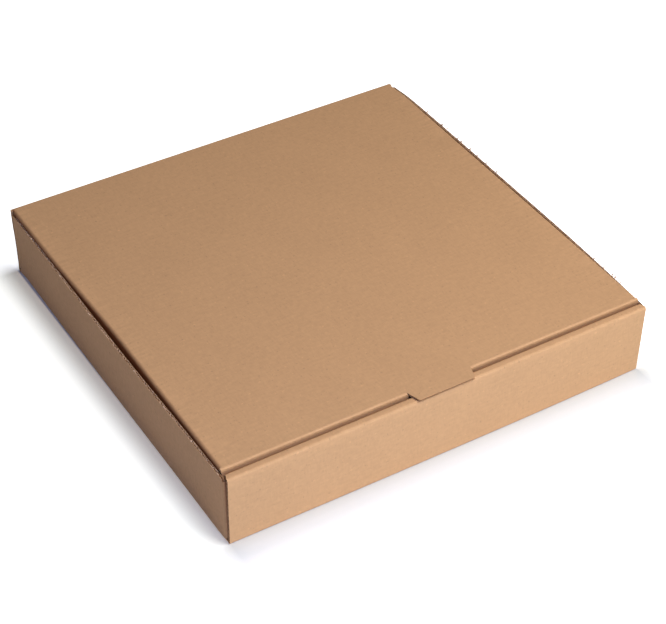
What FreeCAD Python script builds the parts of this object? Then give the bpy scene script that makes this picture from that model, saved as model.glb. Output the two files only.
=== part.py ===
import FreeCAD, Part
import math
import os

import Sketcher

# Folded corrugated pizza box: one die-cut sheet, creased into a tray with a roll-over
# double front wall, and a lid that turns on the rear wall's top crease.
# Millimetres. X runs left to right, Y front to rear, Z up.
# The origin is the centre of the tray's underside.

doc = FreeCAD.newDocument("pizza_box")

# Driving sizes: name, value, what it is
SIZES = [
    ("box_width", 305.0, "front panel, raw edge to raw edge"),
    ("box_depth", 305.0, "outer face of the front panel to outer face of the rear wall"),
    ("board", 1.6, "thickness of the corrugated board"),
    ("front_height", 51.7, "top of the roll-over strip above the table"),
    ("side_height", 50.7, "raw top edge of the side walls above the table"),
    ("side_lean", 3.0, "degrees that each side wall leans outward"),
    ("tray_fold", 0.1, "inner radius of the tray's creases"),
    ("ply_gap", 0.6, "slack between the plies of the double front wall, and at the rear"),
    ("strip_taper", 1.2, "how far each end of the roll-over strip is cut in"),
    ("inner_taper", 1.6, "further cut at the foot of the inner front panel"),
    ("inner_foot", 0.2, "gap under the inner front panel"),
    ("lock_width", 42.0, "width of a lock tab of the inner front panel"),
    ("lock_spacing", 168.0, "centre to centre of the two lock tabs"),
    ("lock_tip", 0.3, "height of the lock tabs' tips above the table"),
    ("lock_slack", 0.5, "gap all round a lock tab in its slot"),
    ("ear_length", 46.0, "reach of an ear past its crease"),
    ("ear_foot", 1.4, "start of an ear above the centre of the floor crease"),
    ("foot_slit", 0.2, "slit between an ear and the foot of the side wall"),
    ("ear_drop", 1.5, "how far the front ears stop below the raw top edge"),
    ("ear_slope", 4.0, "how much narrower an ear is at its free end, at each corner"),
    ("ear_round", 7.0, "corner radius of an ear"),
    ("rear_inset", 0.2, "rear wall's raw ends inside the front panel's"),
    ("crease_slack", 0.1, "gap in the mitre of the lid's crease"),
    ("lid_rest", 0.1, "gap between the closed lid and the roll-over strip"),
    ("lid_inset", 0.3, "lid's outer side faces inside the front panel's raw ends"),
    ("lid_fold", 0.3, "inner radius of the lid's flap creases"),
    ("flap_gap", 1.6, "gap between the inner front panel and the tuck flap"),
    ("flap_tuck", 4.0, "degrees that the lid's flaps lean inward"),
    ("front_flap", 28.0, "tuck flap below its crease"),
    ("front_flap_taper", 5.0, "how much narrower the tuck flap is at its foot, each end"),
    ("side_flap", 26.0, "dust flap below its crease"),
    ("side_flap_start", 4.5, "dust flap's front end behind the tuck flap's outer face"),
    ("side_flap_taper", 7.0, "how much shorter the dust flap is at its foot, each end"),
    ("flap_round", 8.0, "corner radius of the lid's flaps"),
    ("lid_rear_gap", 0.5, "dust flap's rear end in front of the rear ears' crease"),
    ("tab_root", 47.0, "width of the finger tab where it leaves the lid"),
    ("tab_tip", 40.6, "width of the finger tab at its front edge"),
    ("tab_overhang", 0.8, "finger tab's front edge past the front panel"),
    ("tab_round", 1.2, "corner radius of the finger tab"),
]

sheet = doc.addObject("Spreadsheet::Sheet", "Sizes")
for row, (alias, value, note) in enumerate(SIZES, start=1):
    sheet.set(f"A{row}", alias)
    sheet.set(f"B{row}", str(value))
    sheet.set(f"C{row}", note)
    sheet.setAlias(f"B{row}", alias)
doc.recompute()

# Worked-out sizes, as expressions on the sheet
BOARD = "Sizes.board"
HALF_WIDTH = "(Sizes.box_width / 2)"
HALF_DEPTH = "(Sizes.box_depth / 2)"
FRONT = "(-Sizes.box_depth / 2)"
TRAY_IN = "Sizes.tray_fold"
TRAY_OUT = "(Sizes.tray_fold + Sizes.board)"
STRIP = "(3 * Sizes.board + 2 * Sizes.ply_gap)"
EAR_LINE = f"({HALF_DEPTH} - Sizes.board - Sizes.ply_gap - {TRAY_OUT})"
LID_TOP = "(Sizes.front_height + Sizes.lid_rest + Sizes.board)"
LID_IN = "Sizes.lid_fold"
LID_OUT = "(Sizes.lid_fold + Sizes.board)"
LID_HALF = f"({HALF_WIDTH} - Sizes.lid_inset)"
FLAP_FACE = f"({FRONT} + {STRIP} + Sizes.flap_gap)"
TUCK_COS = "cos(Sizes.flap_tuck)"
TUCK_SIN = "sin(Sizes.flap_tuck)"
LEAN_COS = "cos(Sizes.side_lean)"
LEAN_SIN = "sin(Sizes.side_lean)"
WALL_RUN = f"((Sizes.side_height - {TRAY_OUT} + {TRAY_IN} * {LEAN_SIN}) / {LEAN_COS})"
LID_REAR = f"({EAR_LINE} - Sizes.lid_rear_gap)"

X_AXIS = FreeCAD.Vector(1, 0, 0)
Y_AXIS = FreeCAD.Vector(0, 1, 0)
Z_AXIS = FreeCAD.Vector(0, 0, 1)


def number(expression):
    """Value of an expression on the sheet, for a sketch's first drawing."""
    value = sheet.evalExpression(expression.replace("Sizes.", ""))
    return float(getattr(value, "Value", value))


def origin_plane(body, role):
    """One of the body's own base planes."""
    for feature in body.Origin.OriginFeatures:
        if feature.Role == role:
            return feature
    raise ValueError(role)


def new_sketch(body, name, role, base=("0", "0", "0"), axis=None, angle=None):
    """Sketch on a base plane of the body, moved and turned by expressions."""
    sketch = body.newObject("Sketcher::SketchObject", name)
    sketch.AttachmentSupport = [(origin_plane(body, role), "")]
    sketch.MapMode = "FlatFace"
    if axis is not None:
        turn = FreeCAD.Rotation(axis, number(angle))
        sketch.AttachmentOffset = FreeCAD.Placement(FreeCAD.Vector(0, 0, 0), turn)
        sketch.setExpression("AttachmentOffset.Rotation.Angle", angle)
    for letter, expression in zip("xyz", base):
        if expression != "0":
            sketch.setExpression(f"AttachmentOffset.Base.{letter}", expression)
    return sketch


def arc_between(start, end, radius, turn):
    """Arc shorter than a half circle from start to end, turning left or right."""
    chord = end - start
    half = chord.Length / 2
    height = math.sqrt(max(radius * radius - half * half, 0.0))
    side = 1.0 if turn == "left" else -1.0
    normal = FreeCAD.Vector(-chord.y, chord.x, 0).normalize()
    centre = (start + end) * 0.5 + normal * (side * height)
    first, last = (start, end) if turn == "left" else (end, start)
    circle = Part.Circle(centre, Z_AXIS, radius)
    angles = [math.atan2(p.y - centre.y, p.x - centre.x) for p in (first, last)]
    return Part.ArcOfCircle(circle, angles[0], angles[1])


def draw_outline(sketch, points):
    """Closed outline whose corners and radii are bound to the sheet.

    A point is (x, y), or (x, y, radius, turn) where an arc leaves it.
    """
    places = [FreeCAD.Vector(number(p[0]), number(p[1]), 0) for p in points]
    count = len(points)
    edges = []
    for i, point in enumerate(points):
        start = places[i]
        end = places[(i + 1) % count]
        if len(point) == 4:
            shape = arc_between(start, end, number(point[2]), point[3])
            ends = (1, 2) if point[3] == "left" else (2, 1)
        else:
            shape = Part.LineSegment(start, end)
            ends = (1, 2)
        edges.append((sketch.addGeometry(shape, False), ends))
    for i in range(count):
        this, this_ends = edges[i]
        after, after_ends = edges[(i + 1) % count]
        joint = Sketcher.Constraint("Coincident", this, this_ends[1], after, after_ends[0])
        sketch.addConstraint(joint)
    for i, point in enumerate(points):
        edge, ends = edges[i]
        bindings = [
            (Sketcher.Constraint("DistanceX", -1, 1, edge, ends[0], places[i].x), point[0]),
            (Sketcher.Constraint("DistanceY", -1, 1, edge, ends[0], places[i].y), point[1]),
        ]
        if len(point) == 4:
            radius = Sketcher.Constraint("Radius", edge, number(point[2]))
            bindings.append((radius, point[2]))
        for constraint, expression in bindings:
            index = sketch.addConstraint(constraint)
            if "Sizes." in expression:
                sketch.setExpression(f"Constraints[{index}]", expression)


def pad(body, sketch, name, length, both_ways=False):
    """Board or crease grown from a sketch, along its normal."""
    feature = body.newObject("PartDesign::Pad", name)
    feature.Profile = sketch
    if both_ways:
        feature.Midplane = True
    feature.setExpression("Length", length)
    sketch.Visibility = False
    doc.recompute()
    return feature


def mirror(body, name, originals, role):
    """The same features again on the other side of a base plane."""
    feature = body.newObject("PartDesign::Mirrored", name)
    feature.Originals = originals
    feature.MirrorPlane = (origin_plane(body, role), [""])
    body.Tip = feature
    doc.recompute()
    return feature


def rectangle(x_low, x_high, y_low, y_high):
    return [(x_low, y_low), (x_high, y_low), (x_high, y_high), (x_low, y_high)]


# Tray floor, with the two slots that take the lock tabs
tray = doc.addObject("PartDesign::Body", "tray")
tray.Label = "tray"

floor_x = f"{HALF_WIDTH} - {TRAY_OUT}"
floor_y = f"{HALF_DEPTH} - {TRAY_OUT}"
floor_sketch = new_sketch(tray, "floor_outline", "XY_Plane")
draw_outline(floor_sketch, rectangle(f"-({floor_x})", floor_x, f"-({floor_y})", floor_y))
slot_half = "(Sizes.lock_width / 2 + Sizes.lock_slack)"
slot_front = f"{FRONT} + {STRIP} - {BOARD} - Sizes.lock_slack"
slot_rear = f"{FRONT} + {STRIP} + Sizes.lock_slack"
for middle in ("-Sizes.lock_spacing / 2", "Sizes.lock_spacing / 2"):
    slot = rectangle(f"{middle} - {slot_half}", f"{middle} + {slot_half}", slot_front, slot_rear)
    draw_outline(floor_sketch, slot)
pad(tray, floor_sketch, "floor", BOARD)

# Front: floor crease, outer panel and the crease at its top
front_sketch = new_sketch(tray, "front_section", "YZ_Plane")
front_top = f"Sizes.front_height - {TRAY_OUT}"
draw_outline(
    front_sketch,
    [
        (f"{FRONT} + {TRAY_OUT}", "0", TRAY_OUT, "right"),
        (FRONT, TRAY_OUT),
        (FRONT, front_top, TRAY_OUT, "right"),
        (f"{FRONT} + {TRAY_OUT}", "Sizes.front_height"),
        (f"{FRONT} + {TRAY_OUT}", f"Sizes.front_height - {BOARD}", TRAY_IN, "left"),
        (f"{FRONT} + {BOARD}", front_top),
        (f"{FRONT} + {BOARD}", TRAY_OUT, TRAY_IN, "left"),
        (f"{FRONT} + {TRAY_OUT}", BOARD),
    ],
)
pad(tray, front_sketch, "front_panel", "Sizes.box_width", both_ways=True)

# Front: the strip that rolls over the ears, cut in towards its rear crease
strip_half = f"{HALF_WIDTH} - Sizes.strip_taper"
strip_front = f"{FRONT} + {TRAY_OUT}"
strip_rear = f"{FRONT} + {STRIP} - {TRAY_OUT}"
strip_sketch = new_sketch(
    tray, "strip_outline", "XY_Plane", base=("0", "0", f"Sizes.front_height - {BOARD}")
)
draw_outline(
    strip_sketch,
    [
        (f"-{HALF_WIDTH}", strip_front),
        (HALF_WIDTH, strip_front),
        (strip_half, strip_rear),
        (f"-({strip_half})", strip_rear),
    ],
)
pad(tray, strip_sketch, "strip", BOARD)

inner_crease_sketch = new_sketch(tray, "inner_crease_section", "YZ_Plane")
draw_outline(
    inner_crease_sketch,
    [
        (strip_rear, "Sizes.front_height", TRAY_OUT, "right"),
        (f"{FRONT} + {STRIP}", front_top),
        (f"{FRONT} + {STRIP} - {BOARD}", front_top, TRAY_IN, "left"),
        (strip_rear, f"Sizes.front_height - {BOARD}"),
    ],
)
pad(tray, inner_crease_sketch, "inner_crease", f"2 * ({strip_half})", both_ways=True)

# Front: inner panel, whose lock tabs go down into the floor's slots
inner_foot = f"{BOARD} + Sizes.inner_foot"
foot_half = f"({HALF_WIDTH} - Sizes.strip_taper - Sizes.inner_taper)"
lock_in = "(Sizes.lock_spacing / 2 - Sizes.lock_width / 2)"
lock_out = "(Sizes.lock_spacing / 2 + Sizes.lock_width / 2)"
inner_sketch = new_sketch(
    tray, "inner_panel_outline", "XZ_Plane", base=("0", "0", f"-({FRONT} + {STRIP})")
)
draw_outline(
    inner_sketch,
    [
        (f"-({strip_half})", front_top),
        (f"-{foot_half}", inner_foot),
        (f"-{lock_out}", inner_foot),
        (f"-{lock_out}", "Sizes.lock_tip"),
        (f"-{lock_in}", "Sizes.lock_tip"),
        (f"-{lock_in}", inner_foot),
        (lock_in, inner_foot),
        (lock_in, "Sizes.lock_tip"),
        (lock_out, "Sizes.lock_tip"),
        (lock_out, inner_foot),
        (foot_half, inner_foot),
        (strip_half, front_top),
    ],
)
pad(tray, inner_sketch, "inner_panel", BOARD)

# Rear wall, mitred at the crease on which the lid turns
rear_sketch = new_sketch(tray, "rear_section", "YZ_Plane")
rear_top = f"{LID_TOP} - Sizes.crease_slack"
draw_outline(
    rear_sketch,
    [
        (f"{HALF_DEPTH} - {TRAY_OUT}", "0", TRAY_OUT, "left"),
        (HALF_DEPTH, TRAY_OUT),
        (HALF_DEPTH, rear_top),
        (f"{HALF_DEPTH} - {BOARD}", f"{rear_top} - {BOARD}"),
        (f"{HALF_DEPTH} - {BOARD}", TRAY_OUT, TRAY_IN, "right"),
        (f"{HALF_DEPTH} - {TRAY_OUT}", BOARD),
    ],
)
pad(tray, rear_sketch, "rear_wall", "Sizes.box_width - 2 * Sizes.rear_inset", both_ways=True)

# Side wall: floor crease and a wall that leans outward. Its foot runs on below the ears
# to the creases of the front panel and the rear wall. Then the same on the left
crease_x = f"({HALF_WIDTH} - {TRAY_OUT})"
foot_run = "(Sizes.ear_foot - Sizes.foot_slit)"
side_features = []
for name, run, half_length in [
    ("side_wall", WALL_RUN, EAR_LINE),
    ("side_foot", foot_run, f"({HALF_DEPTH} - {TRAY_OUT})"),
]:
    side_sketch = new_sketch(tray, f"{name}_section", "XZ_Plane")
    outer_x = f"{crease_x} + {TRAY_OUT} * {LEAN_COS}"
    outer_z = f"{TRAY_OUT} - {TRAY_OUT} * {LEAN_SIN}"
    inner_x = f"{crease_x} + {TRAY_IN} * {LEAN_COS}"
    inner_z = f"{TRAY_OUT} - {TRAY_IN} * {LEAN_SIN}"
    draw_outline(
        side_sketch,
        [
            (crease_x, "0", TRAY_OUT, "left"),
            (outer_x, outer_z),
            (f"{outer_x} + {run} * {LEAN_SIN}", f"{outer_z} + {run} * {LEAN_COS}"),
            (f"{inner_x} + {run} * {LEAN_SIN}", f"{inner_z} + {run} * {LEAN_COS}"),
            (inner_x, inner_z, TRAY_IN, "right"),
            (crease_x, BOARD),
        ],
    )
    side_features.append(pad(tray, side_sketch, name, f"2 * {half_length}", both_ways=True))
mirror(tray, "left_side_wall", side_features, "YZ_Plane")

# Ears: each side wall turns in behind the front panel and behind the rear wall
EAR_ENDS = [
    ("front", "-", "left", "right", "(Sizes.ear_foot + Sizes.ear_drop)"),
    ("rear", "", "right", "left", "Sizes.ear_foot"),
]
ear_features = []
for end, sign, inner_turn, outer_turn, shortening in EAR_ENDS:
    ear_height = f"({WALL_RUN} - {shortening})"
    crease_sketch = new_sketch(
        tray,
        f"{end}_ear_crease_section",
        "XY_Plane",
        base=(
            f"{crease_x} + Sizes.ear_foot * {LEAN_SIN}",
            "0",
            f"{TRAY_OUT} + Sizes.ear_foot * {LEAN_COS}",
        ),
        axis=Y_AXIS,
        angle="Sizes.side_lean",
    )
    draw_outline(
        crease_sketch,
        [
            (TRAY_OUT, f"{sign}{EAR_LINE}", TRAY_OUT, outer_turn),
            ("0", f"{sign}({EAR_LINE} + {TRAY_OUT})"),
            ("0", f"{sign}({EAR_LINE} + {TRAY_IN})", TRAY_IN, inner_turn),
            (TRAY_IN, f"{sign}{EAR_LINE}"),
        ],
    )
    ear_features.append(pad(tray, crease_sketch, f"{end}_ear_crease", ear_height))

    near_face = f"{EAR_LINE} + {TRAY_IN}" if end == "front" else f"-({EAR_LINE} + {TRAY_OUT})"
    ear_sketch = new_sketch(
        tray,
        f"{end}_ear_outline",
        "XZ_Plane",
        base=(
            f"{crease_x} + Sizes.ear_foot * {LEAN_SIN}",
            f"{TRAY_OUT} + Sizes.ear_foot * {LEAN_COS}",
            near_face,
        ),
        axis=-Z_AXIS,
        angle="Sizes.side_lean",
    )
    tip = "(-Sizes.ear_length)"
    draw_outline(
        ear_sketch,
        [
            ("0", "0"),
            ("0", ear_height),
            (f"{tip} + Sizes.ear_round", f"{ear_height} - Sizes.ear_slope", "Sizes.ear_round", "left"),
            (tip, f"{ear_height} - Sizes.ear_slope - Sizes.ear_round"),
            (tip, "Sizes.ear_slope + Sizes.ear_round", "Sizes.ear_round", "left"),
            (f"{tip} + Sizes.ear_round", "Sizes.ear_slope"),
        ],
    )
    ear_features.append(pad(tray, ear_sketch, f"{end}_ear", BOARD))
mirror(tray, "left_ears", ear_features, "YZ_Plane")

# Lid panel with the finger tab, which stays flat where the tuck flap turns down
lid = doc.addObject("PartDesign::Body", "lid")
lid.Label = "lid"

panel_x = f"({LID_HALF} - {LID_OUT})"
panel_front = f"{FLAP_FACE} + {LID_OUT}"
tab_front = f"({FRONT} - Sizes.tab_overhang)"
tab_length = f"({panel_front} - {tab_front})"
tab_root = "(Sizes.tab_root / 2)"
tab_tip = "(Sizes.tab_tip / 2)"
panel_sketch = new_sketch(lid, "panel_outline", "XY_Plane", base=("0", "0", f"{LID_TOP} - {BOARD}"))
tab_corner = f"({tab_tip} - Sizes.tab_round)"
tab_side = f"({tab_tip} + ({tab_root} - {tab_tip}) * Sizes.tab_round / {tab_length})"
draw_outline(
    panel_sketch,
    [
        (f"-{panel_x}", panel_front),
        (f"-{tab_root}", panel_front),
        (f"-{tab_side}", f"{tab_front} + Sizes.tab_round", "Sizes.tab_round", "left"),
        (f"-{tab_corner}", tab_front),
        (tab_corner, tab_front, "Sizes.tab_round", "left"),
        (tab_side, f"{tab_front} + Sizes.tab_round"),
        (tab_root, panel_front),
        (panel_x, panel_front),
        (panel_x, LID_REAR),
        (f"-{panel_x}", LID_REAR),
    ],
)
pad(lid, panel_sketch, "panel", BOARD)

hinge_sketch = new_sketch(lid, "hinge_section", "YZ_Plane")
draw_outline(
    hinge_sketch,
    [
        (LID_REAR, LID_TOP),
        (LID_REAR, f"{LID_TOP} - {BOARD}"),
        (f"{HALF_DEPTH} - {BOARD}", f"{LID_TOP} - {BOARD}"),
        (HALF_DEPTH, LID_TOP),
    ],
)
pad(lid, hinge_sketch, "hinge_edge", "Sizes.box_width - 2 * Sizes.rear_inset", both_ways=True)

# Tuck flap: creases on both sides of the tab, then the flap with the tab's own notch
flap_centre = f"({FLAP_FACE} + {LID_OUT})"
crease_height = f"({LID_TOP} - {LID_OUT})"
tuck_sketch = new_sketch(lid, "tuck_crease_section", "YZ_Plane", base=("0", "0", tab_root))
draw_outline(
    tuck_sketch,
    [
        (flap_centre, LID_TOP, LID_OUT, "left"),
        (f"{flap_centre} - {LID_OUT} * {TUCK_COS}", f"{crease_height} - {LID_OUT} * {TUCK_SIN}"),
        (
            f"{flap_centre} - {LID_IN} * {TUCK_COS}",
            f"{crease_height} - {LID_IN} * {TUCK_SIN}",
            LID_IN,
            "right",
        ),
        (flap_centre, f"{LID_TOP} - {BOARD}"),
    ],
)
tuck_pad = pad(lid, tuck_sketch, "tuck_crease", f"{LID_HALF} - {tab_root}")
mirror(lid, "left_tuck_crease", [tuck_pad], "YZ_Plane")

crease_run = f"(({LID_IN} + {BOARD} / 2) * (90 + Sizes.flap_tuck) * pi / 180)"
notch = f"({tab_length} - {crease_run})"
notch_root = f"({tab_tip} + ({tab_root} - {tab_tip}) * {notch} / {tab_length})"
flap_foot = f"({LID_HALF} - Sizes.front_flap_taper)"
flap_sketch = new_sketch(
    lid,
    "tuck_flap_outline",
    "XZ_Plane",
    base=(
        "0",
        f"{crease_height} - {LID_IN} * {TUCK_SIN}",
        f"-{flap_centre} + {LID_IN} * {TUCK_COS}",
    ),
    axis=X_AXIS,
    angle="Sizes.flap_tuck",
)
draw_outline(
    flap_sketch,
    [
        (f"-{LID_HALF}", "0"),
        (f"-{flap_foot}", "-Sizes.front_flap + Sizes.flap_round", "Sizes.flap_round", "left"),
        (f"-({flap_foot} - Sizes.flap_round)", "-Sizes.front_flap"),
        (f"{flap_foot} - Sizes.flap_round", "-Sizes.front_flap", "Sizes.flap_round", "left"),
        (flap_foot, "-Sizes.front_flap + Sizes.flap_round"),
        (LID_HALF, "0"),
        (notch_root, "0"),
        (tab_tip, f"-{notch}"),
        (f"-{tab_tip}", f"-{notch}"),
        (f"-{notch_root}", "0"),
    ],
)
pad(lid, flap_sketch, "tuck_flap", BOARD)

# Dust flaps: a crease along each side of the lid, and a flap inside the side wall
dust_sketch = new_sketch(lid, "dust_crease_section", "XZ_Plane", base=("0", "0", f"-({LID_REAR})"))
draw_outline(
    dust_sketch,
    [
        (panel_x, LID_TOP),
        (panel_x, f"{LID_TOP} - {BOARD}", LID_IN, "right"),
        (f"{panel_x} + {LID_IN} * {TUCK_COS}", f"{crease_height} - {LID_IN} * {TUCK_SIN}"),
        (
            f"{panel_x} + {LID_OUT} * {TUCK_COS}",
            f"{crease_height} - {LID_OUT} * {TUCK_SIN}",
            LID_OUT,
            "left",
        ),
    ],
)
dust_crease = pad(lid, dust_sketch, "dust_crease", f"{LID_REAR} - ({panel_front})")

dust_front = f"({FLAP_FACE} + Sizes.side_flap_start)"
dust_flap_sketch = new_sketch(
    lid,
    "dust_flap_outline",
    "YZ_Plane",
    base=(
        "0",
        f"{crease_height} - {LID_IN} * {TUCK_SIN}",
        f"{panel_x} + {LID_IN} * {TUCK_COS}",
    ),
    axis=X_AXIS,
    angle="Sizes.flap_tuck",
)
draw_outline(
    dust_flap_sketch,
    [
        (dust_front, "0"),
        (
            f"{dust_front} + Sizes.side_flap_taper",
            "-Sizes.side_flap + Sizes.flap_round",
            "Sizes.flap_round",
            "left",
        ),
        (f"{dust_front} + Sizes.side_flap_taper + Sizes.flap_round", "-Sizes.side_flap"),
        (
            f"{LID_REAR} - Sizes.side_flap_taper - Sizes.flap_round",
            "-Sizes.side_flap",
            "Sizes.flap_round",
            "left",
        ),
        (f"{LID_REAR} - Sizes.side_flap_taper", "-Sizes.side_flap + Sizes.flap_round"),
        (LID_REAR, "0"),
    ],
)
dust_flap = pad(lid, dust_flap_sketch, "dust_flap", BOARD)
mirror(lid, "left_dust_flap", [dust_crease, dust_flap], "YZ_Plane")

# Check every object, then write one file for each body
doc.recompute()
for obj in doc.Objects:
    if "Invalid" in obj.State or "Error" in obj.State:
        raise RuntimeError(f"{obj.Name} failed: {obj.State}")
bodies = [tray, lid]
for body in bodies:
    if body.Shape.isNull() or not body.Shape.isValid():
        raise RuntimeError(f"{body.Label} has no valid shape")
    if len(body.Shape.Solids) != 1:
        raise RuntimeError(f"{body.Label} has {len(body.Shape.Solids)} solids")

os.makedirs("parts", exist_ok=True)
for body in bodies:
    body.Shape.exportStep(f"parts/{body.Label}.step")
    box = body.Shape.BoundBox
    print(
        f"{body.Label}: {body.Shape.Volume / 1000:.1f} cm3, "
        f"x {box.XMin:.2f} to {box.XMax:.2f}, y {box.YMin:.2f} to {box.YMax:.2f}, "
        f"z {box.ZMin:.2f} to {box.ZMax:.2f}"
    )
print(f"lid axis at y {number(HALF_DEPTH):.3f}, z {number(LID_TOP):.3f}")
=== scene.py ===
# %% [markdown]
# # A folded pizza box
# The real box is one sheet of corrugated board: two smooth papers, called liners, with a waved
# paper, called the medium, glued between them. The sheet is cut flat, creased and folded.
# This lesson builds it in the same order. We describe where each flat panel goes when it is folded,
# lay the three papers on that path, and let Geometry Nodes wave the middle one.

import math
import random

import bmesh
import bpy
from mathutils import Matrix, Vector


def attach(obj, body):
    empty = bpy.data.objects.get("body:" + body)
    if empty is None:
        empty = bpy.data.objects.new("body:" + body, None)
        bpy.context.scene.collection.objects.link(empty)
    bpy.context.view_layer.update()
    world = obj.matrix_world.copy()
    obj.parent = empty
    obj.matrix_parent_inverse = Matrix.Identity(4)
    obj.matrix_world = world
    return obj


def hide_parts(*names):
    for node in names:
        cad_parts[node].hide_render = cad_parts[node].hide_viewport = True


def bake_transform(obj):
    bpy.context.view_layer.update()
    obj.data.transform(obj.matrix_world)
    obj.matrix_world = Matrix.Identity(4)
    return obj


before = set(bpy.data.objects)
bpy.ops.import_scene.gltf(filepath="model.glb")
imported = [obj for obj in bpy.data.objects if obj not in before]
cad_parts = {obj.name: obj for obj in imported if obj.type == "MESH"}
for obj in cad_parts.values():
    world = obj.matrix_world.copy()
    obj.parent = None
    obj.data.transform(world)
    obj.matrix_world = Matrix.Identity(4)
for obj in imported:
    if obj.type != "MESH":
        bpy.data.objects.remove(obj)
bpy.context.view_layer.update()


# %% [markdown]
# ## Sizes
# Every panel's size is written once, in millimetres, and `MM` turns it into Blender's metres.
# The names follow the box: a strip rolls over the top of the front wall, ears fold in behind the
# front and rear walls, and the lid has a tuck flap and two dust flaps. A small number in a sum is
# the gap that lets one board pass another.

# %% Sizes
MM = 0.001
WIDTH = 305.0
DEPTH = 305.0
BOARD = 1.6
LINER = 0.2
MEDIUM = 0.16
FLUTE_PITCH = 3.3
FLUTE_SKEW = 0.012
FRONT_HEIGHT = 51.7
SIDE_HEIGHT = 50.7
LEAN = 3.0
PLY_GAP = 0.6
TRAY_FOLD = 0.1
LID_FOLD = 0.3
TRAY_BEND = TRAY_FOLD + BOARD
LID_BEND = LID_FOLD + BOARD
STRIP = 3 * BOARD + 2 * PLY_GAP
STRIP_TAPER = 1.2
INNER_TAPER = 1.6
EAR_LINE = DEPTH / 2 - BOARD - PLY_GAP - TRAY_BEND
EAR_LENGTH = 46.0
EAR_SLOPE = 4.0
EAR_ROUND = 7.0
EAR_FOOT = 1.4
FOOT = EAR_FOOT - 0.2
REAR_HALF = WIDTH / 2 - 0.2
LID_TOP = FRONT_HEIGHT + 0.1 + BOARD
LID_HALF = WIDTH / 2 - 0.3
TUCK = 4.0
FLAP_FACE = -DEPTH / 2 + STRIP + 1.6
LID_FRONT = FLAP_FACE + LID_BEND
LID_REAR = EAR_LINE - 0.5
TUCK_FLAP = 28.0
TUCK_CUT = 5.0
DUST_FLAP = 26.0
DUST_CUT = 7.0
DUST_START = FLAP_FACE + 4.5
FLAP_ROUND = 8.0
TAB_ROOT = 47.0 / 2
TAB_TIP = 40.6 / 2
TAB_FRONT = -DEPTH / 2 - 0.8
TAB_ROUND = 0.8
print(f"closed box is {WIDTH:.0f} x {DEPTH:.0f} x {LID_TOP:.1f} mm")

# %% [markdown]
# ## Walking along a folded section
# Cut the folded board across its creases and you see a line made of straights and bends. `walk`
# follows that line. It starts flat, goes `s` millimetres along, and steps `depth` millimetres into
# the board, towards the inside of the folds. It gives back how far out and how far up it has got,
# the direction that points into the board, and how bent the board is there (1 in a crease).

# %% Walk along straights and bends
def bend_length(degrees, radius):
    """Length of a bend, along the middle of the board."""
    return math.radians(degrees) * (radius - BOARD / 2)


def run_length(kind, size, radius):
    return size if kind == "flat" else bend_length(size, radius)


def walk(runs, s, depth):
    out, up, turned = 0.0, 0.0, 0.0
    for kind, size, radius in runs:
        length = run_length(kind, size, radius)
        here = min(s, length)
        ahead = Vector((math.cos(turned), math.sin(turned)))
        inward = Vector((-ahead.y, ahead.x))
        if kind == "flat":
            out, up = out + ahead.x * here, up + ahead.y * here
        else:
            centre = Vector((out, up)) + inward * radius
            turned += math.radians(size) * here / length
            inward = Vector((-math.sin(turned), math.cos(turned)))
            out, up = centre - inward * radius
        s -= length
        if s <= 1e-9:
            break
    bent = 1.0 if kind == "bend" else 0.0
    return Vector((out, up)) + inward * depth, inward, bent


FLOOR_HALF = WIDTH / 2 - TRAY_BEND
CREASE = bend_length(90, TRAY_BEND)
FLOOR_RUN = ("flat", FLOOR_HALF, 0)
FOLD = ("bend", 90, TRAY_BEND)
REST = ("flat", 60, 0)
PANEL_RUN = ("flat", FRONT_HEIGHT - 2 * TRAY_BEND, 0)
STRIP_RUN = ("flat", STRIP - 2 * TRAY_BEND, 0)
FRONT_RUNS = [FLOOR_RUN, FOLD, PANEL_RUN, FOLD, STRIP_RUN, FOLD, REST]
REAR_RUNS = [FLOOR_RUN, FOLD, REST]
SIDE_RUNS = [FLOOR_RUN, ("bend", 90 - LEAN, TRAY_BEND), REST]
TUCK_RUNS = [("bend", 90 + TUCK, LID_BEND), REST]
HINGE_RUNS = [("bend", 90, LID_BEND)]
HINGE_START = LID_TOP - LID_BEND
EAR_RUNS = [FOLD, REST]
print("front chain ends at", [round(c, 2) for c in walk(FRONT_RUNS, 300, 0)[0]])

# %% [markdown]
# ## A box that has been handled
# The real box is not quite square. Its side walls are held at both ends and lean out a little
# more between, each in its own way, and the lid's two long edges are not quite straight. Each
# table below says how far something has moved outward, in millimetres, at a place from the front
# (negative) to the rear (positive), or for the front's foot from left to right. `curve` draws a
# smooth line through it. The pairs after them are moves at the foot and at the top.

# %% Settle
WALL_TOP = {
    -1: [(-149, -0.6), (-90, -0.4), (-40, 0.0), (0, -0.1), (60, -0.8), (110, -1.4), (149, -1.8)],
    1: [(-149, -0.6), (-132, 0.0), (-105, 1.1), (-78, 1.9), (-50, 2.4)]
    + [(0, 2.6), (60, 2.8), (130, 2.6), (149, 1.0)],
}
WALL_FOOT = {
    -1: [(-151, 1.2), (-140, 1.6), (-90, 1.2), (0, 0.7), (90, -0.2), (140, -0.9), (151, -0.2)],
    1: [(-151, 0.0), (151, 0.0)],
}
LID_EDGE = {
    -1: [(-153, 0.3), (-100, -0.2), (-50, -0.8), (0, -1.3), (50, -0.5), (90, 0.0), (153, -0.1)],
    1: [(-153, 0.9), (-120, 1.2), (-60, 1.5), (0, 1.7), (60, 1.8), (130, 1.9), (153, 0.3)],
}
FRONT_FOOT = [(-153, 1.3), (-60, 1.7), (60, 1.6), (120, 0.9), (153, 0.3)]
FRONT_ENDS = {-1: (-0.9, 0.0), 1: (-0.8, 1.3)}
REAR_LEFT = (-0.4, 0.5)
WALL_BOW = 1.3
SIDE_REACH, SIDE_FULL = 45.0, 4.0
FOOT_REACH = 25.0
HINGE_RISE, HINGE_OUT = 0.4, 0.3
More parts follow.
